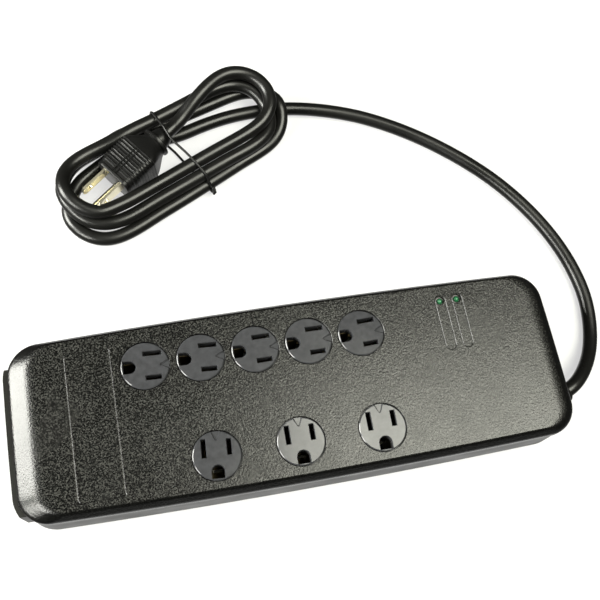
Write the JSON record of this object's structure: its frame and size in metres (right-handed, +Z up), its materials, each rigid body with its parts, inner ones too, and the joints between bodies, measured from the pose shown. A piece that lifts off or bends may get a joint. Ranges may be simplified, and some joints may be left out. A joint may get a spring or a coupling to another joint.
{
  "type": "surge protector power strip",
  "caption": "Flat surge protector strip with two rows of grounded outlets, indicator lamps, an end switch and a mains lead folded into a tied hank with its plug.",
  "frame": {"origin": "on the standing surface, under the middle of the strip without its lead", "axes": "+X along the strip towards the end where the lead leaves, +Y towards the row of five outlets, +Z up out of the outlet faces"},
  "size_m": [0.3345, 0.2579, 0.036],
  "materials": {
    "cover_plastic": "fine moulded grain, satin sheen on the broad top",
    "base_plastic": "fine moulded grain",
    "outlet_plastic": "smooth satin, faint moulding swirl",
    "contact_brass": "stamped, dull",
    "tray_plastic": "plain moulded",
    "circuit_board": "solder-resist sheen",
    "varistor_coating": "dipped epoxy",
    "fuse_ceramic": "glazed ceramic sleeve",
    "capacitor_case": "moulded box",
    "choke_winding": "enamelled copper wire",
    "resistor_body": "lacquered",
    "led_lens": "tinted diffusing lens",
    "spacer_nylon": "natural nylon",
    "switch_plastic": "satin",
    "contact_copper": "stamped copper",
    "cord_jacket": "satin PVC",
    "plug_vinyl": "satin moulded PVC",
    "plug_metal": "nickel-bright brass, lightly drawn",
    "line_insulation": "smooth PVC",
    "switched_insulation": "smooth PVC",
    "neutral_insulation": "smooth PVC",
    "earth_insulation": "smooth PVC",
    "screw_steel": "zinc plated",
    "foot_rubber": "matt",
    "tie_coating": "plastic-coated wire"
  },
  "bodies": {
    "strip": {"top_cover": "cover_plastic", "base": "base_plastic", "outlet_1": "outlet_plastic", "outlet_2": "outlet_plastic", "outlet_3": "outlet_plastic", "outlet_4": "outlet_plastic", "outlet_5": "outlet_plastic", "outlet_6": "outlet_plastic", "outlet_7": "outlet_plastic", "outlet_8": "outlet_plastic", "back_line_bar": "contact_brass", "back_neutral_bar": "contact_brass", "back_earth_bar": "contact_brass", "front_line_bar": "contact_brass", "front_neutral_bar": "contact_brass", "front_earth_bar": "contact_brass", "back_contact_tray": "tray_plastic", "front_contact_tray": "tray_plastic", "circuit_board": "circuit_board", "varistors": "varistor_coating", "thermal_fuses": "fuse_ceramic", "film_capacitor": "capacitor_case", "choke": "choke_winding", "resistors": "resistor_body", "led_protected": "led_lens", "led_grounded": "led_lens", "led_spacers": "spacer_nylon", "end_panel": "base_plastic", "switch_housing": "switch_plastic", "switch_terminals": "contact_brass", "strain_relief": "cord_jacket", "cord_tail": "cord_jacket", "cord_clamp": "tray_plastic", "clamp_screws": "screw_steel", "line_wire": "line_insulation", "switched_line_wire": "switched_insulation", "neutral_wire": "neutral_insulation", "earth_wire": "earth_insulation", "housing_screws": "screw_steel", "board_screws": "screw_steel", "rubber_feet": "foot_rubber", "lead": "cord_jacket", "lead_hank": "cord_jacket", "hank_tie": "tie_coating", "plug_body": "plug_vinyl", "plug_blade_line": "plug_metal", "plug_blade_neutral": "plug_metal", "plug_earth_pin": "plug_metal"},
    "rocker": {"switch_rocker": "switch_plastic"},
    "contact_arm": {"switch_contact_arm": "contact_copper"}
  },
  "joints": [
    {"name": "rocker_tilt", "type": "hinge", "parent": "strip", "child": "rocker", "pos_m": [-0.1394, -0.002, 0.014], "axis": [0, 0, 1], "range_deg": [0, 20]},
    {"name": "contact_arm_tilt", "type": "hinge", "parent": "strip", "child": "contact_arm", "pos_m": [-0.1295, -0.002, 0.014], "axis": [0, 0, 1], "range_deg": [-10, 0]}
  ],
  "couplings": [
    {"joint": "contact_arm_tilt", "follows": "rocker_tilt", "ratio": -0.5}
  ]
}
